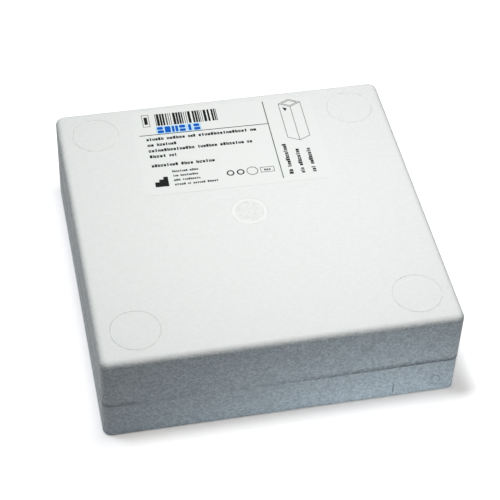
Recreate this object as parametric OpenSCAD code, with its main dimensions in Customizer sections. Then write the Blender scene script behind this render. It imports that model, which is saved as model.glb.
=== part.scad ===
// Square foam box packed with spectrophotometer cuvettes. A moulded base holds one cuvette in
// each of its cells, and a deeper lid drops over the cell block and lifts straight off.
// Origin at the middle of the underside, +Z up, front face towards -Y, label towards +Y.

/* [Box] */
// Width of the closed box, left to right
box_w = 200; // [192:1:260]
// Depth of the closed box, front to back
box_d = 200; // [192:1:260]
// Height of the base's outer wall, up to the parting line
base_h = 25; // [20:0.5:40]
// Height of the lid's outer wall, from the parting line to its top
lid_h = 35; // [33:0.5:60]
// Radius of the upright corners, seen from above
corner_r = 5; // [5:0.5:10]
// Radius of the soft edge around the lid's top
top_edge_r = 3.5; // [1:0.5:5]
// Radius of the edge around the base's underside
bottom_edge_r = 1; // [0.5:0.5:5]
// Radius of the small round mould mark low on the front
side_mark_r = 4; // [2:0.5:5]
// How far that mark's centre lies from the right side
side_mark_inset = 12.4; // [12.4:0.1:20]
// Height of that mark's centre
side_mark_h = 9.6; // [8:0.1:14]
// How far the short upright mould line on the front lies from the right side
side_line_inset = 36.5; // [25:0.5:60]
// Height of that line's upper end
side_line_h = 12; // [6:0.5:18]

/* [Cuvette] */
// Outer width of one square cuvette
cuvette_w = 12.5; // [9:0.5:13.5]
// Height of one cuvette
cuvette_h = 45; // [35:1:46]
// Thickness of a cuvette's walls
cuvette_wall = 1.25; // [0.8:0.05:2]
// Thickness of a cuvette's bottom
cuvette_bottom = 1.5; // [1:0.25:4]

/* [Cells] */
// Number of cells from left to right
cells_x = 10; // [4:1:10]
// Number of cells from front to back
cells_y = 10; // [4:1:10]
// Distance from one cell to the next, centre to centre
cell_pitch = 17; // [15:0.25:17.75]
// Foam left under a cell
cell_floor = 7; // [4:0.5:8]
// Gap between a cuvette and each wall of its cell
cell_clear = 0.3; // [0.1:0.05:0.5]
// Foam around the outer cells, on top of half a pitch
cell_border = 2; // [1:0.5:3]
// Height that the cell block stands above the parting line
block_rise = 3; // [2:0.5:10]
// Radius of the cell block's upright corners
block_corner_r = 4; // [1:0.5:6]

/* [Lid] */
// Gap between the cell block and the inside of the lid, each side
lid_clear = 0.4; // [0.2:0.1:1]
// Gap between the cuvettes' tops and the inside of the lid
head_clear = 0.8; // [0.3:0.1:3]
// Radius of the round ejector marks near the lid's corners
corner_mark_r = 14; // [6:0.5:18]
// Distance from the lid's sides to the centre of an ejector mark
corner_mark_inset = 22; // [20:0.5:30]
// Outer radius of the bead fill mark in the middle of the lid
fill_mark_r = 10.7; // [5:0.1:14]
// Radius of the sunk face inside the fill mark
fill_face_r = 8.3; // [3:0.1:9.5]
// Width of the fine groove that outlines a mark, on the lid and on the base
mark_line_w = 0.6; // [0.3:0.1:1]
// Depth of the marks
mark_depth = 0.4; // [0.2:0.1:1]

/* [Label] */
// Width of the label
label_w = 111; // [86:1:130]
// Depth of the label, front to back
label_d = 73; // [68:1:76]
// Thickness of the label
label_t = 0.15; // [0.1:0.05:0.5]
// Radius of the label's corners
label_corner_r = 1.5; // [0.5:0.5:4]
// How far the label's centre lies to the right of the box's centre
label_right = -0.5; // [-10:0.5:10]
// How far the label's centre lies behind the box's centre
label_back = 57; // [53:0.5:57]
// How far the label is turned, counter-clockwise
label_turn = -1.1; // [-3:0.1:3]

/* [Print] */
// Thickness of the ink on the label
ink_t = 0.05; // [0.02:0.01:0.1]
// Width of the two rules
rule_w = 0.5; // [0.2:0.05:0.8]
// Width of a drawn line, in a frame, a ring or the drawing
fine_w = 0.3; // [0.2:0.05:0.5]
// Distance from the label's edges to the ends of the rules
rule_margin = 3.6; // [2:0.1:6]
// Width of the panel right of the upright rule
panel_w = 29.3; // [27:0.1:34]
// Depth of the head above the level rule
head_d = 21.6; // [20:0.1:24]
// Distance from the label's left edge to the lines of text
text_indent = 6.8; // [4:0.1:10]
// Distance from the end of the longest line to the upright rule
text_gap = 8.8; // [4:0.1:14]
// Height of the bold letters
bold_h = 2.4; // [1.5:0.1:3]
// Distance from one bold line to the next
bold_pitch = 5; // [4:0.1:6]
// Height of the small letters
small_h = 1.6; // [1:0.1:2]
// Distance from one small line to the next
small_pitch = 3.7; // [3:0.1:4.5]
// Width of the bar pattern
bars_w = 38; // [30:1:44]
// Depth of the bar pattern
bars_d = 10.5; // [8:0.5:12]
// Height of the blue code's characters
code_h = 5.4; // [3:0.1:6]
// Width of the cuvette drawn in the panel
drawing_w = 13.5; // [8:0.5:16]
// Length of the cuvette drawn in the panel
drawing_l = 30.5; // [20:0.5:34]

/* [Hidden] */
corner_fn = 32;
edge_steps = 6;
round_fn = 64;
small_fn = 48;

box_h = base_h + lid_h;
cell_w = cuvette_w + 2 * cell_clear;
block_w = cells_x * cell_pitch + 2 * cell_border;
block_d = cells_y * cell_pitch + 2 * cell_border;
block_top = base_h + block_rise;
lid_inside_top = cell_floor + cuvette_h + head_clear;

// Lengths of the words in each line, as shares of the full line
bold_lines = [
    [0.16, 0.17, 0.07, 0.45, 0.06], [0.06, 0.18], [0.42, 0.18, 0.22, 0.05], [0.15, 0.07], [0.24, 0.11, 0.17]
];
small_lines = [[0.14, 0.08], [0.05, 0.16], [0.06, 0.16], [0.1, 0.03, 0.11, 0.1]];
columns = [[0.12, 0.58], [0.13, 0.42], [0.14, 0.4]];
// How far each bold line, and the first small one, lies below the level rule, in bold lines
bold_drops = [1, 2, 3, 4, 5.6];
small_drop = 6.75;
// Space between words, as a share of the letters' height
word_space = 0.7;
column_pitch = 6.8;
// Distance from the label's back edge to the print, and from there to the bars
print_margin = 1.5;
bars_drop = 2;
tag_w = 4;
bars_indent = 7.8;
bar_count = 24;
// Width and pitch of the code's blocks, as shares of their height
code_w = 0.7;
code_pitch = 0.82;
code_count = 6;
symbol_w = 8;
frame_w = 8;
frame_d = 4;
// The rings left of that frame: distance from its right end to the centre, outer radius, line width
rings = [[26, 2.3, 0.8], [20, 2.3, 0.8], [13, 3.4, 0.4]];
// Place of the drawing across the panel, and size of its inner outline, as shares
drawing_place = 0.55;
drawing_bore = 0.7;

// Places of the print, measured from the label's middle
panel_left = label_w / 2 - panel_w;
rule_y = label_d / 2 - head_d;
text_left = text_indent - label_w / 2;
line_w = panel_left - text_gap - text_left;
column_w = label_d - drawing_l - 2 * rule_margin;
print_top = label_d / 2 - print_margin;
bars_y = print_top - bars_drop - bars_d;
small_y = rule_y - small_drop * bold_pitch;
small_end_y = small_y - (len(small_lines) - 1) * small_pitch;

function row_name(j) = str("cuvette_row_", j < 10 ? "0" : "", j);

// Quarter circle of edge points around (x, z), from angle a to angle b.
function edge_arc(x, z, r, a, b) =
    [for (i = [0:edge_steps]) let (t = a + (b - a) * i / edge_steps) [x + r * cos(t), z + r * sin(t)]];

// Upright corner post from z0 to z1 whose top and bottom edges are rounded.
module corner_post(z0, z1, low_r, high_r) {
    low = low_r > 0 ? edge_arc(corner_r - low_r, z0 + low_r, low_r, -90, 0) : [[corner_r, z0]];
    high = high_r > 0 ? edge_arc(corner_r - high_r, z1 - high_r, high_r, 0, 90) : [[corner_r, z1]];
    rotate_extrude($fn = corner_fn) polygon(concat([[0, z0]], low, high, [[0, z1]]));
}

// Solid block of the box's plan between two heights, with soft lower and upper edges.
module foam_block(z0, z1, low_r, high_r) {
    hull()
        for (x = [-1, 1], y = [-1, 1])
            translate([x * (box_w / 2 - corner_r), y * (box_d / 2 - corner_r), 0])
                corner_post(z0, z1, low_r, high_r);
}

// Upright prism with rounded corners, centred, from z0 to z1.
module rounded_prism(w, d, r, z0, z1) {
    translate([0, 0, z0]) linear_extrude(z1 - z0) {
        square([w - 2 * r, d], center = true);
        square([w, d - 2 * r], center = true);
        for (x = [-1, 1], y = [-1, 1])
            translate([x * (w / 2 - r), y * (d / 2 - r)]) circle(r, $fn = corner_fn);
    }
}

// Puts its child at the centre of each cell in rows first to last, counted from the front.
module at_cells(first, last) {
    for (i = [1:cells_x], j = [first:last])
        translate([(i - (cells_x + 1) / 2) * cell_pitch, (j - (cells_y + 1) / 2) * cell_pitch, cell_floor])
            children();
}

// Fine circular groove, open upwards.
module groove_ring(r) {
    rotate_extrude($fn = round_fn) translate([r - mark_line_w, 0]) square([mark_line_w, 2 * mark_depth]);
}

module base() {
    color("white") difference() {
        union() {
            foam_block(0, base_h, bottom_edge_r, 0);
            rounded_prism(block_w, block_d, block_corner_r, base_h - block_rise, block_top);
        }
        at_cells(1, cells_y)
            translate([-cell_w / 2, -cell_w / 2, 0]) cube([cell_w, cell_w, block_top]);
        translate([box_w / 2, mark_depth - box_d / 2, 0]) {
            translate([-side_mark_inset, 0, side_mark_h]) rotate([90, 0, 0]) groove_ring(side_mark_r);
            translate([-side_line_inset, -2 * mark_depth, -mark_depth])
                cube([mark_line_w, 2 * mark_depth, side_line_h + mark_depth]);
        }
    }
}

module lid() {
    color("white") difference() {
        foam_block(base_h, box_h, 0, top_edge_r);
        rounded_prism(
            block_w + 2 * lid_clear, block_d + 2 * lid_clear, block_corner_r + lid_clear,
            base_h - block_rise, lid_inside_top
        );
        translate([0, 0, box_h - mark_depth]) {
            for (x = [-1, 1], y = [-1, 1])
                translate([x * (box_w / 2 - corner_mark_inset), y * (box_d / 2 - corner_mark_inset), 0])
                    groove_ring(corner_mark_r);
            groove_ring(fill_mark_r);
            cylinder(r = fill_face_r, h = 2 * mark_depth, $fn = round_fn);
        }
    }
}

// Puts its child on the lid's top in the label's own frame, z above the foam.
module on_label(z) {
    translate([label_right, label_back, box_h + z]) rotate([0, 0, label_turn]) children();
}

module label() {
    color("ghostwhite") on_label(0) rounded_prism(label_w, label_d, label_corner_r, 0, label_t);
}

// Straight line of ink from point a to point b.
module stroke(a, b, w = fine_w) {
    translate(a) rotate(atan2(b.y - a.y, b.x - a.x)) translate([-w / 2, -w / 2]) square([norm(b - a) + w, w]);
}

// Lines of ink through all the points, and back to the first.
module outline(points) {
    for (i = [0:len(points) - 1]) stroke(points[i], points[(i + 1) % len(points)]);
}

// Ruled rectangle from the origin.
module frame(w, d) {
    outline([[0, 0], [w, 0], [w, d], [0, d]]);
}

// Sum of the first n values of a list.
function total(v, n) = n == 0 ? 0 : v[n - 1] + total(v, n - 1);

// Row of words from the origin, each a plain bar whose length is a share of the full line.
module words(shares, full, h) {
    for (i = [0:len(shares) - 1])
        translate([full * total(shares, i) + i * h * word_space, 0]) square([full * shares[i], h]);
}

// Upright bars of one to four units, with gaps of one to three units between them.
function bar_units(k) = 1 + (3 * k + floor(k / 3)) % 4;
function gap_units(k) = 1 + floor((k % 7) / 3);
function bar_start(k) = k == 0 ? 0 : bar_start(k - 1) + bar_units(k - 1) + gap_units(k - 1);
module bar_pattern() {
    unit = bars_w / bar_start(bar_count);
    for (k = [0:bar_count - 1])
        translate([bar_start(k) * unit, 0]) square([bar_units(k) * unit, bars_d]);
}

module text_block() {
    for (i = [0:len(bold_lines) - 1])
        translate([text_left, rule_y - bold_drops[i] * bold_pitch]) words(bold_lines[i], line_w, bold_h);
    for (i = [0:len(small_lines) - 1])
        translate([text_left + symbol_w + 2 * small_h, small_y - i * small_pitch])
            words(small_lines[i], line_w, small_h);
    for (i = [1:3])
        translate([text_left + (i - 1) * symbol_w / 3, small_end_y])
            square([symbol_w / 3, symbol_w * (1 + i) / 4]);
}

// Two small rings, a larger one and a frame with a bar in it, in a row left of the panel.
module marks() {
    translate([panel_left - frame_d, (small_y + small_end_y) / 2]) {
        for (ring = rings)
            translate([-ring[0], 0]) difference() {
                circle(ring[1], $fn = small_fn);
                circle(ring[1] - ring[2], $fn = small_fn);
            }
        translate([-frame_w, -frame_d / 2]) frame(frame_w, frame_d);
        translate([-frame_w / 2, 0]) square([frame_w / 2, small_h], center = true);
    }
}

// Line drawing of an upright square cuvette seen from above its near corner.
module drawing() {
    r = drawing_w / 2;
    mouth = [[0, 0], [-r, -r / 2], [0, -r], [r, -r / 2]];
    drop = [0, -drawing_l];
    translate([panel_left + panel_w * drawing_place, print_top]) {
        outline(mouth);
        outline([for (p = mouth) [0, -r / 2] + drawing_bore * (p + [0, r / 2])]);
        for (i = [1:3]) stroke(mouth[i], mouth[i] + drop);
        for (i = [1:2]) stroke(mouth[i] + drop, mouth[i + 1] + drop);
        translate([-r * 0.75, -r]) polygon([[0, 0], [r * 0.4, -r * 0.2], [r * 0.2, -r * 0.55]]);
    }
}

module label_print() {
    color("black") on_label(label_t) linear_extrude(ink_t) {
        stroke([rule_margin - label_w / 2, rule_y], [panel_left, rule_y], rule_w);
        stroke([panel_left, rule_margin - label_d / 2], [panel_left, print_top], rule_w);
        translate([text_left, bars_y]) {
            frame(tag_w, bars_d);
            translate([tag_w / 4, tag_w / 2]) square([tag_w / 2, bars_d - tag_w]);
            translate([bars_indent, 0]) bar_pattern();
        }
        text_block();
        marks();
        drawing();
        for (i = [0:len(columns) - 1])
            translate([panel_left + (i + 1) * column_pitch, rule_margin + bold_h - label_d / 2])
                rotate(90) words(columns[i], column_w, bold_h);
    }
}

// Row of blue blocks, which stand for the characters of a code.
module label_code() {
    color("dodgerblue") on_label(label_t) linear_extrude(ink_t)
        for (i = [0:code_count - 1])
            translate([text_left + bars_indent + i * code_pitch * code_h, rule_y + 2 * rule_w])
                square([code_w * code_h, code_h]);
}

module cuvette() {
    difference() {
        translate([-cuvette_w / 2, -cuvette_w / 2, 0]) cube([cuvette_w, cuvette_w, cuvette_h]);
        translate([cuvette_wall - cuvette_w / 2, cuvette_wall - cuvette_w / 2, cuvette_bottom])
            cube([cuvette_w - 2 * cuvette_wall, cuvette_w - 2 * cuvette_wall, cuvette_h]);
    }
}

module cuvette_row(j) {
    color("lightblue", 0.5) at_cells(j, j) cuvette();
}

base();
lid();
label();
label_print();
label_code();
for (j = [1:cells_y])
    cuvette_row(j);
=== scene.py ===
from math import radians

import bmesh
import bpy
from mathutils import Matrix, Vector


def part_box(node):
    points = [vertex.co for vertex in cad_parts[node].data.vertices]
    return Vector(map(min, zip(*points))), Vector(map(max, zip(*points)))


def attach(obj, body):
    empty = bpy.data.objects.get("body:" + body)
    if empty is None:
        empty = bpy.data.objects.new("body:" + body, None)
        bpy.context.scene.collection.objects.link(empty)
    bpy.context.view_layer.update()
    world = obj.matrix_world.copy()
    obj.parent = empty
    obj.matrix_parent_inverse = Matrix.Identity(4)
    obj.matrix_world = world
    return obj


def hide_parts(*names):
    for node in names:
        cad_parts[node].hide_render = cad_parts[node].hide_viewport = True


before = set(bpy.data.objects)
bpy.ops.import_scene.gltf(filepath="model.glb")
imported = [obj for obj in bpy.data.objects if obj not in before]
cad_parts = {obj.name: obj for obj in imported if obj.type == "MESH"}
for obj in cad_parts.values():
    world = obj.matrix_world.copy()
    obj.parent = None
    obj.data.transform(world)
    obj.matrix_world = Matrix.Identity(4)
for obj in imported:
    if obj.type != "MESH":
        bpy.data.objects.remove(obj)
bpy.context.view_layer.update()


# Foam base. A white block of steam-moulded polystyrene beads, with ten rows of ten square cells
# sunk in a block that stands a little above the outer wall. The mould has left a fine round
# mark and a short upright line low on the front, and the wall leans in slightly at its ends.
# All sizes are in metres.
base_low, base_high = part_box("base")
lid_low, lid_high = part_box("lid")
row_low, row_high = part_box("cuvette_row_01")
cell_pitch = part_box("cuvette_row_02")[0].y - row_low.y
cell_count = 10
cell_gap = 0.0003
cell_width = row_high.y - row_low.y + 2 * cell_gap
cell_rim = 0.0005
block_margin = 0.002
block_half = cell_count * cell_pitch / 2 + block_margin
block_corner = 0.0035
wall_corner = 0.005
foot_edge = 0.001
parting_edge = 0.0002
# where the front wall leans in: the end of the lean, where it starts, and how far at the top
leans = [(0.0925, 0.03, 0.0006), (-0.0925, -0.08, 0.0004)]
mark_line = 0.0006
mark_depth = 0.0004
round_mark_radii = (0.0031, 0.004)
upright_line_radii = (mark_line * 0.8, 0.0052)
foam_tint = (0.865, 0.879, 0.871)
bead_size = 0.0016
bead_depth = 0.0003
bead_wobble = 0.0006
# share of bead relief and darker bead tone kept on the level top; on the walls that darker tone is
# painted shade
top_bead_share = 0.12
bead_shade = 0.46
rough_share = 0.3
rim_share = 0.42
parting_height = lid_low.z
# strength of the painted shade along the parting line
parting_shade_level = 0.85


def finish_piece(name, bm):
    """Turns a bmesh into an object with clean shading across its flat sides."""
    mesh = bpy.data.meshes.new(name)
    bm.to_mesh(mesh)
    bm.free()
    mesh.shade_smooth()
    mesh.set_sharp_from_angle(angle=radians(30))
    piece = bpy.data.objects.new(name, mesh)
    bpy.context.scene.collection.objects.link(piece)
    piece.modifiers.new("Even shading", "WEIGHTED_NORMAL").keep_sharp = True
    return piece


def verts_in(geometry):
    """The vertices in what an operator gives back."""
    return [v for v in geometry if isinstance(v, bmesh.types.BMVert)]


def edges_at(bm, height):
    """Level edges that lie at a height."""
    return [e for e in bm.edges if all(abs(v.co.z - height) < 1e-6 for v in e.verts)]


def edges_rising(bm, rise):
    """Edges whose ends differ in height by more than a rise."""
    return [e for e in bm.edges if abs(e.verts[0].co.z - e.verts[1].co.z) > rise]


def soften(bm, edges, radius, segments, clamp=False):
    """Rounds edges."""
    bmesh.ops.bevel(bm, geom=edges, offset=radius, segments=segments, profile=0.5,
                    affect="EDGES", material=-1, clamp_overlap=clamp)


def rounded_block(low, high, corner, segments=10):
    """Block whose four upright corners are rounded."""
    size = high - low
    bm = bmesh.new()
    bmesh.ops.create_cube(bm, size=1, matrix=Matrix.LocRotScale((low + high) / 2, None, size))
    soften(bm, edges_rising(bm, size.z / 2), corner, segments)
    return bm


def mark_face(bm, normal, marks):
    """Opens the widest face that looks along normal, and closes it again around sunk marks.
    A mark is its centre, its two radii, and its steps: each a share of the radii and a depth."""
    facing = [f for f in bm.faces if f.normal.dot(normal) > 0.999]
    face = max(facing, key=lambda f: f.calc_area())
    rim = list(face.edges)
    bmesh.ops.delete(bm, geom=[face], context="FACES_ONLY")
    turn = normal.to_track_quat("Z", "Y").to_matrix().to_4x4()
    for centre, radii, steps in marks:
        place = Matrix.Translation(centre) @ turn
        ring = bmesh.ops.create_circle(bm, segments=72, radius=1,
                                       matrix=place @ Matrix.Diagonal((*radii, 1, 1)))
        ring_verts = set(ring["verts"])
        loop = [e for e in bm.edges if e.verts[0] in ring_verts]
        rim += loop
        share_before, depth_before = 1, 0
        for share, depth in steps:
            step = bmesh.ops.extrude_edge_only(bm, edges=loop)["geom"]
            loop = [e for e in step if isinstance(e, bmesh.types.BMEdge)]
            verts = verts_in(step)
            scale = share / share_before
            bmesh.ops.scale(bm, verts=verts, vec=(scale, scale, 1), space=place.inverted())
            bmesh.ops.translate(bm, verts=verts, vec=normal * (depth_before - depth))
            share_before, depth_before = share, depth
        bmesh.ops.edgeloop_fill(bm, edges=loop)
    bmesh.ops.triangle_fill(bm, edges=rim, normal=normal, use_beauty=True)


bm = rounded_block(base_low, Vector((base_high.x, base_high.y, lid_low.z)), wall_corner)
soften(bm, edges_at(bm, base_low.z), foot_edge, 5)
soften(bm, edges_at(bm, lid_low.z), parting_edge, 2)
front = Vector((0, -1, 0))
round_mark = Vector((0.0876, base_low.y, 0.0096))
upright_line = Vector((0.0635, base_low.y, 0.0066))
groove = [(0.9, 2 * mark_depth), (0.8, 0)]
mark_face(bm, front, [(round_mark, round_mark_radii, groove),
                      (upright_line, upright_line_radii, [(0.6, 3 * mark_depth)])])
for end, start, lean in leans:
    bmesh.ops.bisect_plane(bm, geom=bm.verts[:] + bm.edges[:] + bm.faces[:], dist=1e-7,
                           plane_co=(start, 0, 0), plane_no=(1, 0, 0))
    for v in bm.verts:
        along = min(max((v.co.x - start) / (end - start), 0), 1)
        around = min(max((-v.co.y - base_high.y + wall_corner) / wall_corner, 0), 1)
        v.co.y += lean * along * around * v.co.z / lid_low.z
wall_top = [f for f in bm.faces
            if f.normal.z > 0.999 and f.calc_center_median().z > lid_low.z - 1e-6]
bmesh.ops.delete(bm, geom=wall_top, context="FACES_KEEP_BOUNDARY")
wall_rim = [e for e in edges_at(bm, lid_low.z) if e.is_boundary]

# the cell block: a square grid whose lines are moved to the cells' walls
lines = [-block_half]
for i in range(cell_count):
    centre = (i - (cell_count - 1) / 2) * cell_pitch
    lines += [centre - cell_width / 2, centre + cell_width / 2]
lines.append(block_half)
last = len(lines) - 1
grid = set(bmesh.ops.create_grid(bm, x_segments=last, y_segments=last, size=1)["verts"])
for v in grid:
    column = round((v.co.x + 1) / 2 * last)
    row = round((v.co.y + 1) / 2 * last)
    v.co = Vector((lines[column], lines[row], base_high.z))
cells = [f for f in bm.faces if f.verts[0] in grid and
         all(abs(abs(c) / cell_pitch % 1 - 0.5) < 0.01 for c in f.calc_center_median().xy)]
outer = [e for e in bm.edges if e.verts[0] in grid and e.is_boundary]
skirt = bmesh.ops.extrude_edge_only(bm, edges=outer)["geom"]
bmesh.ops.translate(bm, verts=verts_in(skirt), vec=(0, 0, lid_low.z - base_high.z))
sunk = bmesh.ops.extrude_discrete_faces(bm, faces=cells)["faces"]
cell_floors = list({v for f in sunk for v in f.verts})
bmesh.ops.translate(bm, verts=cell_floors, vec=(0, 0, row_low.z - base_high.z))
corners = [e for e in bm.edges if all(abs(abs(v.co.x) - block_half) < 1e-6 and
                                      abs(abs(v.co.y) - block_half) < 1e-6 for v in e.verts)]
soften(bm, corners, block_corner, 5)
block_rim = [e for e in edges_at(bm, lid_low.z) if e.is_boundary and e not in wall_rim]
bmesh.ops.triangle_fill(bm, edges=wall_rim + block_rim, normal=(0, 0, 1), use_beauty=True)
rims = [e for e in edges_at(bm, base_high.z) if len(e.link_faces) == 2 and
        min(f.calc_center_median().z for f in e.link_faces) < base_high.z - 0.001]
soften(bm, rims, cell_rim, 2)
bmesh.ops.recalc_face_normals(bm, faces=bm.faces)
foam_base = finish_piece("foam_base", bm)


def add_node(tree, kind, inputs, **settings):
    """Adds a node. An input is given its value, or is linked where that is another's output."""
    node = tree.nodes.new(kind)
    for setting, value in settings.items():
        setattr(node, setting, value)
    for name, value in inputs.items():
        if isinstance(value, bpy.types.NodeSocket):
            tree.links.new(value, node.inputs[name])
        else:
            node.inputs[name].default_value = value
    return node


def maths(tree, operation, *values):
    """Result of an operation on two or three values."""
    node = add_node(tree, "ShaderNodeMath", dict(enumerate(values)), operation=operation)
    return node.outputs["Value"]


def map_range(tree, value, low, high, low_result=0, high_result=1, **settings):
    """Value turned from one range into another, and held at its ends."""
    node = add_node(tree, "ShaderNodeMapRange",
                    {"Value": value, "From Min": low, "From Max": high,
                     "To Min": low_result, "To Max": high_result}, **settings)
    return node.outputs["Result"]


def mix_colours(tree, share, first, second, **settings):
    """First colour with a share of the second."""
    node = add_node(tree, "ShaderNodeMix", {"Factor": share, 6: first, 7: second},
                    data_type="RGBA", **settings)
    return node.outputs[2]


def noise(tree, place, scale, detail=2):
    """Noise node that is fixed to its piece."""
    return add_node(tree, "ShaderNodeTexNoise",
                    {"Vector": place["Object"], "Scale": scale, "Detail": detail})


def grey_ramp(tree, value, stops, interpolation="LINEAR"):
    """Grey level that changes with a value, from stop to stop."""
    node = add_node(tree, "ShaderNodeValToRGB", {"Fac": value})
    node.color_ramp.interpolation = interpolation
    points = node.color_ramp.elements
    points[0].position, points[1].position = stops[0][0], stops[-1][0]
    for stop in stops[1:-1]:
        points.new(stop[0])
    for point, (stop, level) in zip(points, stops):
        point.color = (level, level, level, 1)
    return node.outputs["Color"]


def new_material(name, specular=0.5):
    """Material, its node tree, its shader, and the places and normals on its piece."""
    material = bpy.data.materials.new(name)
    material.use_nodes = True
    tree = material.node_tree
    shader = tree.nodes["Principled BSDF"]
    shader.inputs["Specular IOR Level"].default_value = specular
    return material, tree, shader, add_node(tree, "ShaderNodeTexCoord", {}).outputs


def foam_material(name, filler=0):
    """Fused white beads: a net of fine seams between them, a faint skin and a tone of each bead's
    own.
    On the upright walls the seams are deeper and the beads' tone much darker than on the level top:
    painted shade for the grazing light that shows up the beads there. The parting line is a thin
    stroke of painted shade, darkest on the right and faintest in the middle, with softer painted
    shade above it. Inside the outer radius of a filler mark lies a smooth whiter rim, and in that a
    rougher face."""
    material, tree, shader, place = new_material(name, 0.3)
    shader.inputs["Roughness"].default_value = 0.62

    # seams, skin and each bead's own shade
    wobble = noise(tree, place, 0.6 / bead_size)
    bent = add_node(tree, "ShaderNodeMix", {"Factor": bead_wobble, 4: place["Object"],
                                            5: wobble.outputs["Color"]}, data_type="VECTOR")
    beads = add_node(tree, "ShaderNodeTexVoronoi",
                     {"Vector": bent.outputs[1], "Scale": 1 / bead_size},
                     feature="DISTANCE_TO_EDGE")
    seam = map_range(tree, beads.outputs["Distance"], 0, 0.18, interpolation_type="SMOOTHSTEP")
    skin = noise(tree, place, 1.1 / bead_size, 4)
    relief = maths(tree, "MULTIPLY_ADD", skin.outputs["Fac"], 0.6, seam)
    each = add_node(tree, "ShaderNodeTexVoronoi",
                    {"Vector": bent.outputs[1], "Scale": 1.5 / bead_size})
    own = add_node(tree, "ShaderNodeSeparateColor", {"Color": each.outputs["Color"]})
    grain = map_range(tree, own.outputs["Red"], 0, 1, 0, bead_shade)

    # how much they show, on walls, top and filler mark
    facing = add_node(tree, "ShaderNodeSeparateXYZ", {"Vector": place["Normal"]})
    upright = map_range(tree, facing.outputs["Z"], 0.2, 0.9, 1, top_bead_share)
    level_place = add_node(tree, "ShaderNodeVectorMath", {0: place["Object"], 1: (1, 1, 0)},
                           operation="MULTIPLY")
    from_middle = add_node(tree, "ShaderNodeVectorMath", {0: level_place.outputs["Vector"]},
                           operation="LENGTH")
    outwards = map_range(tree, from_middle.outputs["Value"], 0, filler + 0.0001)
    rough = grey_ramp(tree, outwards, [(0.7, rough_share), (0.76, 0)])
    rim = grey_ramp(tree, outwards, [(0, rim_share * 0.6), (0.76, rim_share * 0.6),
                                     (0.8, rim_share), (0.92, rim_share), (0.96, 0)])
    # share of relief and of darker bead tone; on the upright walls the darker tone is painted shade
    # for grazing light
    share = maths(tree, "ADD", upright, rough)
    bead_tone_and_wall_shade = maths(tree, "MULTIPLY", grain, share)

    # the parting line: painted shade, a thin dark stroke at the parting height with softer painted
    # shade above it on the lid
    at = add_node(tree, "ShaderNodeSeparateXYZ", {"Vector": place["Object"]})
    height = map_range(tree, at.outputs["Z"], parting_height - 0.002, parting_height + 0.008)
    parting_shade_band = grey_ramp(tree, height,
                    [(0.14, 0), (0.18, 1), (0.28, 1), (0.36, 0.7), (0.44, 0.45), (0.6, 0)])
    across = map_range(tree, at.outputs["X"], -0.1, 0.1)
    # how strong that painted shade is across the width: most on the right, least in the middle
    opens = grey_ramp(tree, across, [(0, parting_shade_level * 0.5), (0.08, parting_shade_level * 0.5),
                                     (0.1, parting_shade_level * 0.15), (0.45, parting_shade_level * 0.15),
                                     (0.9, parting_shade_level)])
    line = maths(tree, "MULTIPLY", parting_shade_band, opens)

    # the foam's tint, made darker by the beads' tone and by the painted shades
    shade = mix_colours(tree, maths(tree, "ADD", bead_tone_and_wall_shade, line), (*foam_tint, 1),
                  (*[c * 0.3 for c in foam_tint], 1))
    bump = add_node(tree, "ShaderNodeBump", {"Strength": share, "Distance": bead_depth,
                                             "Height": relief})
    tree.links.new(mix_colours(tree, rim, shade, (1, 1, 1, 1)), shader.inputs["Base Color"])
    tree.links.new(bump.outputs["Normal"], shader.inputs["Normal"])
    return material


foam_base.data.materials.append(foam_material("Bead foam, base"))
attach(foam_base, "base")
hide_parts("base")


# Cuvettes. Each is a square tube of crystal polystyrene, injection moulded in one piece with two
# clear windows, two frosted sides and a small arrow that shows the light path. Ten stand
# loosely in the cells of each row.
tube_wall = 0.00125
tube_floor = 0.0015
tube_corner = 0.0005
window_margin = 0.0016
window_depth = 0.0002
# the arrow: its radius, how far its middle lies below the rim, how far it stands out of the
# window, and how far it is sunk in it
arrow_size = 0.0013
arrow_drop = 0.004
arrow_rise = 0.0001
arrow_root = 0.00005


def hollow_out(bm, hollow, height):
    """Gives a block the walls of a hollow, turned inwards, and opens both at a height. Returns
    the edges of their two rims."""
    bmesh.ops.reverse_faces(hollow, faces=hollow.faces)
    carrier = bpy.data.meshes.new("hollow")
    hollow.to_mesh(carrier)
    hollow.free()
    bm.from_mesh(carrier)
    bpy.data.meshes.remove(carrier)
    ends = [f for f in bm.faces if all(abs(v.co.z - height) < 1e-6 for v in f.verts)]
    bmesh.ops.delete(bm, geom=ends, context="FACES_ONLY")
    return [e for e in bm.edges if e.is_boundary]


def cuvette():
    """One cuvette, standing where the first cell of the front row is."""
    low = row_low
    high = Vector((row_low.x + row_high.y - row_low.y, row_high.y, row_high.z))
    bm = rounded_block(low, high, tube_corner, 1)
    sides = [f for f in bm.faces if abs(f.normal.z) < 0.1 and f.calc_area() > 0.0002]
    clear = [f for f in sides if abs(f.normal.y) > 0.9]
    for face in sides:
        face.material_index = 0 if face in clear else 1
    bmesh.ops.inset_individual(bm, faces=clear, thickness=window_margin, depth=-window_depth)
    bore = rounded_block(low + Vector((tube_wall, tube_wall, tube_floor)),
                         high - Vector((tube_wall, tube_wall, 0)), tube_corner, 1)
    bmesh.ops.bridge_loops(bm, edges=hollow_out(bm, bore, high.z))
    at = Vector(((low.x + high.x) / 2, low.y + window_depth + arrow_root, high.z - arrow_drop))
    upright = Matrix.Rotation(radians(90), 4, "X")
    point = bmesh.ops.create_circle(bm, cap_ends=True, segments=3, radius=arrow_size,
                                    matrix=Matrix.Translation(at) @ upright)
    face = point["verts"][0].link_faces[0]
    raised = bmesh.ops.extrude_face_region(bm, geom=[face])["geom"]
    bmesh.ops.translate(bm, verts=verts_in(raised), vec=(0, -arrow_rise - arrow_root, 0))
    mesh = bpy.data.meshes.new("cuvette")
    bm.to_mesh(mesh)
    bm.free()
    return mesh


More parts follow.
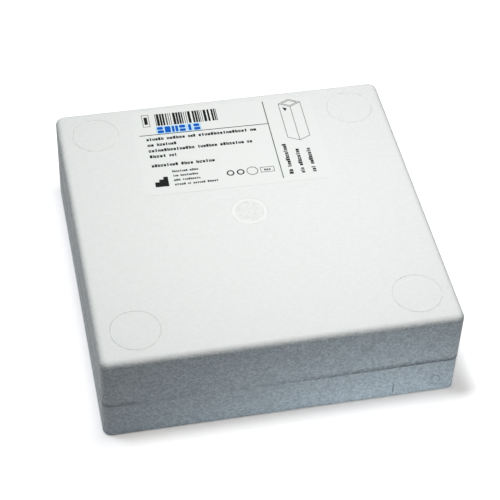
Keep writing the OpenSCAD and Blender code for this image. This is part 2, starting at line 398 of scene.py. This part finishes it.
def clear_plastic(name, roughness):
    """Crystal polystyrene: polished, or frosted by a fine ground mould."""
    material, tree, shader, place = new_material(name)
    shader.inputs["Transmission Weight"].default_value = 1
    shader.inputs["IOR"].default_value = 1.59
    grain = noise(tree, place, 900).outputs["Fac"]
    tree.links.new(map_range(tree, grain, 0, 1, roughness * 0.8, roughness * 1.2),
                   shader.inputs["Roughness"])
    tree.links.new(mix_colours(tree, grain, (0.93, 0.96, 0.985, 1), (0.97, 0.985, 0.99, 1)),
                   shader.inputs["Base Color"])
    return material


one = cuvette()
polished = clear_plastic("Clear polystyrene", 0.04)
frosted = clear_plastic("Frosted polystyrene", 0.4)
for j in range(cell_count):
    bm = bmesh.new()
    for i in range(cell_count):
        seen = set(bm.verts)
        bm.from_mesh(one)
        bmesh.ops.translate(bm, verts=[v for v in bm.verts if v not in seen],
                            vec=(i * cell_pitch, j * cell_pitch, 0))
    row = finish_piece(f"cuvettes_{j + 1:02d}", bm)
    row.data.materials.append(polished)
    row.data.materials.append(frosted)
    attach(row, "base")
    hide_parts(f"cuvette_row_{j + 1:02d}")


# Foam lid. A deep cap moulded from the same beads, with a softly rounded top edge. Ejector discs
# have left a fine ring near each corner of the top, and the bead filler a smooth ring round a
# sunk, rougher face in the middle.
top_edge = 0.004
recess_gap = 0.0004
recess_half = block_half + recess_gap
head_room = 0.0008
recess_top = row_high.z + head_room
disc_radius = 0.014
disc_inset = 0.022
filler_radius = 0.0107
filler_face = 0.0083

bm = rounded_block(lid_low, lid_high, wall_corner)
soften(bm, edges_at(bm, lid_high.z), top_edge, 10)
soften(bm, edges_at(bm, lid_low.z), parting_edge, 2)
disc_line = 1 - mark_line / disc_radius
filler_line = 1 - mark_line / filler_radius
face_share = filler_face / filler_radius
disc_steps = [((1 + disc_line) / 2, mark_depth * 0.8), (disc_line, 0)]
filler_steps = [((1 + filler_line) / 2, mark_depth * 0.6), (filler_line, 0), (face_share, 0),
                (face_share - 0.05, mark_depth * 0.8)]
disc_x = lid_high.x - disc_inset
disc_y = lid_high.y - disc_inset
marks = [(Vector((x, y, lid_high.z)), (disc_radius, disc_radius), disc_steps)
         for x in (-disc_x, disc_x) for y in (-disc_y, disc_y)]
marks.append((Vector((0, 0, lid_high.z)), (filler_radius, filler_radius), filler_steps))
mark_face(bm, Vector((0, 0, 1)), marks)
recess = rounded_block(Vector((-recess_half, -recess_half, lid_low.z)),
                       Vector((recess_half, recess_half, recess_top)), block_corner + recess_gap)
lid_rims = hollow_out(bm, recess, lid_low.z)
bmesh.ops.triangle_fill(bm, edges=lid_rims, normal=(0, 0, -1), use_beauty=True)
bmesh.ops.recalc_face_normals(bm, faces=bm.faces)
foam_lid = finish_piece("foam_lid", bm)
foam_lid.data.materials.append(foam_material("Bead foam, lid", filler_radius))
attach(foam_lid, "lid")
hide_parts("lid")


# Label. A white paper label with a satin face, stuck flat on the lid behind the fill mark. The
# beads below show through it as a very slight unevenness.
satin, tree, shader, place = new_material("Satin paper", 0.35)
uneven = noise(tree, place, 300, 3).outputs["Fac"]
bump = add_node(tree, "ShaderNodeBump", {"Distance": 0.00006, "Height": uneven})
tree.links.new(mix_colours(tree, uneven, (0.85, 0.865, 0.855, 1), (0.875, 0.89, 0.88, 1)),
               shader.inputs["Base Color"])
tree.links.new(map_range(tree, uneven, 0, 1, 0.4, 0.5), shader.inputs["Roughness"])
tree.links.new(bump.outputs["Normal"], shader.inputs["Normal"])
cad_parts["label"].material_slots[0].material = satin


# Print. Two inks on the label: black for the rules, the bar pattern, the rings and the drawing of
# a cuvette, and blue for the code. Words are rows of plain little blocks, low and wide or tall
# and narrow, and the code's blocks stand on a pale blue field.
label_turn = Matrix.Rotation(radians(-1.1), 4, "Z")
bold_height = 0.0024
small_height = 0.0016
bar_length = 0.0105
letter_pitch = 0.76
field_margin = 0.0008
field_corner = 0.0012
field_rise = 0.00001
# blocks of a letter: start and end as shares of its pitch, foot and head as shares of its height
letter_forms = [[(0.06, 0.84, 0, 1)],
                [(0.06, 0.44, 0, 0.78), (0.54, 0.92, 0, 0.78)],
                [(0.08, 0.86, 0, 0.78)],
                [(0.04, 0.42, 0, 1), (0.48, 0.9, 0, 0.78)],
                [(0.06, 0.88, 0, 0.76)],
                [(0.24, 0.7, 0, 1)],
                [(0.04, 0.86, 0, 0.34), (0.04, 0.86, 0.44, 0.8)]]
code_forms = [[(0, 1, 0, 0.44), (0, 0.92, 0.56, 1)],
              [(0.04, 0.96, 0, 1)],
              [(0, 0.4, 0, 1), (0.56, 1, 0, 1)],
              [(0.02, 0.98, 0, 0.42), (0.02, 0.98, 0.56, 1)],
              [(0.3, 0.75, 0, 1)]]


def islands(bm):
    """Lists of the vertices that hang together."""
    left = set(bm.verts)
    found = []
    while left:
        island = []
        open_ends = [left.pop()]
        while open_ends:
            v = open_ends.pop()
            island.append(v)
            near = {e.other_vert(v) for e in v.link_edges} & left
            left -= near
            open_ends += near
        found.append(island)
    return found


def print_box(verts):
    """Lowest and highest corner of some ink, along the lines of the print."""
    flat = [label_turn.inverted() @ v.co for v in verts]
    return [Vector([end(axis) for axis in zip(*flat)]) for end in (min, max)]


def ink_block(bm, low, along, up, rise):
    """Plain block of ink from its lower left corner."""
    middle = label_turn @ (low + (along + up + rise) / 2)
    sides = label_turn.to_3x3() @ Matrix((along, up, rise)).transposed()
    bmesh.ops.create_cube(bm, size=1, matrix=Matrix.Translation(middle) @ sides.to_4x4())


def ink_letter(bm, low, along, up, rise, form):
    """Blocks that stand for one letter."""
    for start, end, foot, head in form:
        ink_block(bm, low + along * start + up * foot, along * (end - start),
                  up * (head - foot), rise)


def cad_copy(node):
    """Copy of a CAD node's mesh with its loose triangles joined."""
    bm = bmesh.new()
    bm.from_mesh(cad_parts[node].data)
    bmesh.ops.remove_doubles(bm, verts=bm.verts, dist=1e-6)
    return bm


def ink_material(name, dark, light):
    """Ink that took a little unevenly on the paper."""
    material, tree, shader, place = new_material(name, 0.1)
    shader.inputs["Roughness"].default_value = 0.45
    patches = noise(tree, place, 900).outputs["Fac"]
    tree.links.new(mix_colours(tree, patches, (*dark, 1), (*light, 1)), shader.inputs["Base Color"])
    return material


bm = cad_copy("label_print")
words = 0
for island in sorted(islands(bm), key=lambda verts: print_box(verts)[0][:]):
    low, high = print_box(island)
    size = high - low
    rise = Vector((0, 0, size.z))
    if size.x > size.y:
        start = low
        along = Vector((size.x, 0, 0))
        up = Vector((0, size.y, 0))
    else:
        start = Vector((high.x, low.y, low.z))
        along = Vector((0, size.y, 0))
        up = Vector((-size.x, 0, 0))
    is_word = any(abs(up.length - height) < 1e-5 for height in (bold_height, small_height))
    if len(island) == 8 and is_word and abs(along.length - bar_length) > 1e-5:
        letters = max(round(along.length / up.length / letter_pitch), 1)
        for k in range(letters):
            form = letter_forms[(3 * k + 2 * words) % len(letter_forms)]
            ink_letter(bm, start + along * k / letters, along / letters, up, rise, form)
        bmesh.ops.delete(bm, geom=island, context="VERTS")
        words += 1
black_print = finish_piece("black_print", bm)
black_ink = ink_material("Black ink", (0.004, 0.004, 0.005), (0.016, 0.016, 0.018))
black_print.data.materials.append(black_ink)
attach(black_print, "lid")
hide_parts("label_print")

code = cad_copy("label_code")
places = sorted((print_box(island) for island in islands(code)), key=lambda ends: ends[0][:])
code.free()
bm = bmesh.new()
for k, (low, high) in enumerate(places):
    size = high - low
    ink_letter(bm, low, Vector((size.x, 0, 0)), Vector((0, size.y, 0)), Vector((0, 0, size.z)),
               code_forms[k % len(code_forms)])
soften(bm, edges_rising(bm, 1e-6), field_corner / 2, 3, clamp=True)
blue_code = finish_piece("blue_code", bm)
blue_ink = ink_material("Blue ink", (0.0, 0.09, 0.5), (0.01, 0.14, 0.62))
blue_code.data.materials.append(blue_ink)
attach(blue_code, "lid")
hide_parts("label_code")

bm = bmesh.new()
margin = Vector((field_margin, field_margin, 0))
low, high = places[0][0] - margin, places[-1][1] + margin
ink_block(bm, low, Vector((high.x - low.x, 0, 0)), Vector((0, high.y - low.y, 0)),
          Vector((0, 0, field_rise)))
soften(bm, edges_rising(bm, field_rise / 2), field_corner, 4)
blue_field = finish_piece("blue_field", bm)
pale_ink = ink_material("Pale blue ink", (0.5, 0.74, 0.95), (0.6, 0.82, 0.97))
blue_field.data.materials.append(pale_ink)
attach(blue_field, "lid")


# Floor and light. A white light table that glows softly round the box, most on its right, under
# a key lamp from behind the left shoulder and two round soft boxes overhead. The camera looks
# down from the box's front left corner.
glow_start = 0.002
glow_reach = 0.2
glow_left = 0.27
glow_right = 1.14
far_brightness = 1.6


def shown_or_thrown(tree, shown, thrown, output):
    """Sends one shader to what the camera sees, straight or in gloss or through plastic, and
    another to what lights the box."""
    path = add_node(tree, "ShaderNodeLightPath", {}).outputs
    seen = maths(tree, "MAXIMUM", path["Is Camera Ray"], path["Is Glossy Ray"])
    seen = maths(tree, "MAXIMUM", seen, path["Is Transmission Ray"])
    pick = add_node(tree, "ShaderNodeMixShader", {0: seen, 1: thrown, 2: shown})
    tree.links.new(pick.outputs["Shader"], tree.nodes[output].inputs["Surface"])


floor_mesh = bpy.data.meshes.new("floor")
bm = bmesh.new()
bmesh.ops.create_grid(bm, x_segments=1, y_segments=1, size=6)
bm.to_mesh(floor_mesh)
bm.free()
floor = bpy.data.objects.new("floor", floor_mesh)
bpy.context.scene.collection.objects.link(floor)
paper, tree, table, place = new_material("White table", 0)
floor_mesh.materials.append(paper)

# how far a spot lies from the walls, and how far to the right
mirrored = add_node(tree, "ShaderNodeVectorMath", {0: place["Object"]}, operation="ABSOLUTE")
from_wall = add_node(tree, "ShaderNodeVectorMath", {0: mirrored.outputs["Vector"], 1: base_high},
                     operation="SUBTRACT")
beside = add_node(tree, "ShaderNodeSeparateXYZ", {"Vector": from_wall.outputs["Vector"]}).outputs
reach = maths(tree, "MAXIMUM", beside["X"], beside["Y"])
spot = add_node(tree, "ShaderNodeSeparateXYZ", {"Vector": place["Object"]}).outputs
along = map_range(tree, spot["X"], -0.15, 0.15)

# what is seen: white, with painted shadow where it meets the box and a painted shadow strip beside
# its right end
table.inputs["Base Color"].default_value = (1, 1, 1, 1)
table.inputs["Roughness"].default_value = 1
# painted contact shadow: the white that is seen darkens near the box
contact = add_node(tree, "ShaderNodeAmbientOcclusion", {"Distance": 0.006}).outputs["AO"]
painted_contact_shadow = mix_colours(tree, contact, (0.24, 0.22, 0.205, 1), (0.56, 0.54, 0.525, 1))
# painted cast shadow of the key lamp, a strip beside the box's right end
painted_lee_shadow = grey_ramp(tree, along, [(0.82, 1), (0.845, 0.58), (0.87, 0.58), (0.91, 1)])
painted_floor_shadows = mix_colours(tree, map_range(tree, beside["Y"], 0.003, 0.011, 1, 0), painted_contact_shadow, painted_lee_shadow,
               blend_type="MULTIPLY")
tree.links.new(painted_floor_shadows, table.inputs["Emission Color"])
tree.links.new(map_range(tree, reach, glow_reach, 3 * glow_reach, 1, far_brightness),
               table.inputs["Emission Strength"])

# what is thrown on the box: a little of the lamps' light, and the glow
start = map_range(tree, reach, 0, glow_start)
fade = map_range(tree, reach, 0, glow_reach, 1, 0)
side = grey_ramp(tree, along, [(0, glow_left / 4), (0.2, glow_left),
                               (0.5, (glow_left + glow_right) * 0.54), (0.75, glow_right),
                               (0.85, glow_right * 0.7), (1, glow_right / 4)], "B_SPLINE")
strength = maths(tree, "MULTIPLY", maths(tree, "MULTIPLY", fade, start), side)
glow = add_node(tree, "ShaderNodeEmission", {"Color": (0.98, 1.2, 1.4, 1), "Strength": strength})
bounce = add_node(tree, "ShaderNodeBsdfDiffuse", {"Color": (0.3, 0.3, 0.3, 1)})
thrown = add_node(tree, "ShaderNodeAddShader",
                  {0: bounce.outputs["BSDF"], 1: glow.outputs["Emission"]})
shown_or_thrown(tree, table.outputs["BSDF"], thrown.outputs["Shader"], "Material Output")

world = bpy.data.worlds.new("Room")
world.use_nodes = True
tree = world.node_tree
room = tree.nodes["Background"]
room.inputs["Color"].default_value = (0.8, 0.9, 1, 1)
room.inputs["Strength"].default_value = 0.06
seen_room = add_node(tree, "ShaderNodeBackground", {"Strength": 1})
shown_or_thrown(tree, seen_room.outputs["Background"], room.outputs["Background"], "World Output")
bpy.context.scene.world = world


def lamp(name, kind, place, aim, energy, colour, size):
    """A soft lamp that looks from its place towards its aim."""
    data = bpy.data.lights.new(name, kind)
    data.energy = energy
    data.color = colour
    if kind == "SUN":
        data.angle = size
    else:
        data.shape = "DISK"
        data.size = size
    light = bpy.data.objects.new(name, data)
    light.location = place
    light.rotation_euler = (Vector(aim) - Vector(place)).to_track_quat("-Z", "Y").to_euler()
    light.visible_camera = False
    bpy.context.scene.collection.objects.link(light)


lamp("Key", "SUN", (-0.18, 0.13, 1), (0, 0, 0), 0.93, (0.84, 0.91, 1), radians(10))
lamp("Top", "AREA", (0.012, 0.02, 0.56), (0.012, 0.02, 0), 1, (1, 0.97, 0.79), 0.25)
lamp("Top right", "AREA", (0.06, 0.015, 0.38), (0.06, 0.015, 0), 0.4, (0.94, 0.92, 1), 0.2)
lamp("Left", "AREA", (-0.7, 0.08, 0.15), (-0.1, 0.02, 0.03), 0.27, (0.97, 1, 0.98), 0.3)

camera_data = bpy.data.cameras.new("Camera")
camera_data.lens = 117.28
camera_data.sensor_width = 36
camera = bpy.data.objects.new("Camera", camera_data)
camera.location = (-0.1517, -0.644, 0.7183)
camera.rotation_euler = (radians(43.747), radians(-1.778), radians(-11.502))
bpy.context.scene.collection.objects.link(camera)
bpy.context.scene.camera = camera
bpy.context.scene.view_settings.view_transform = "Standard"
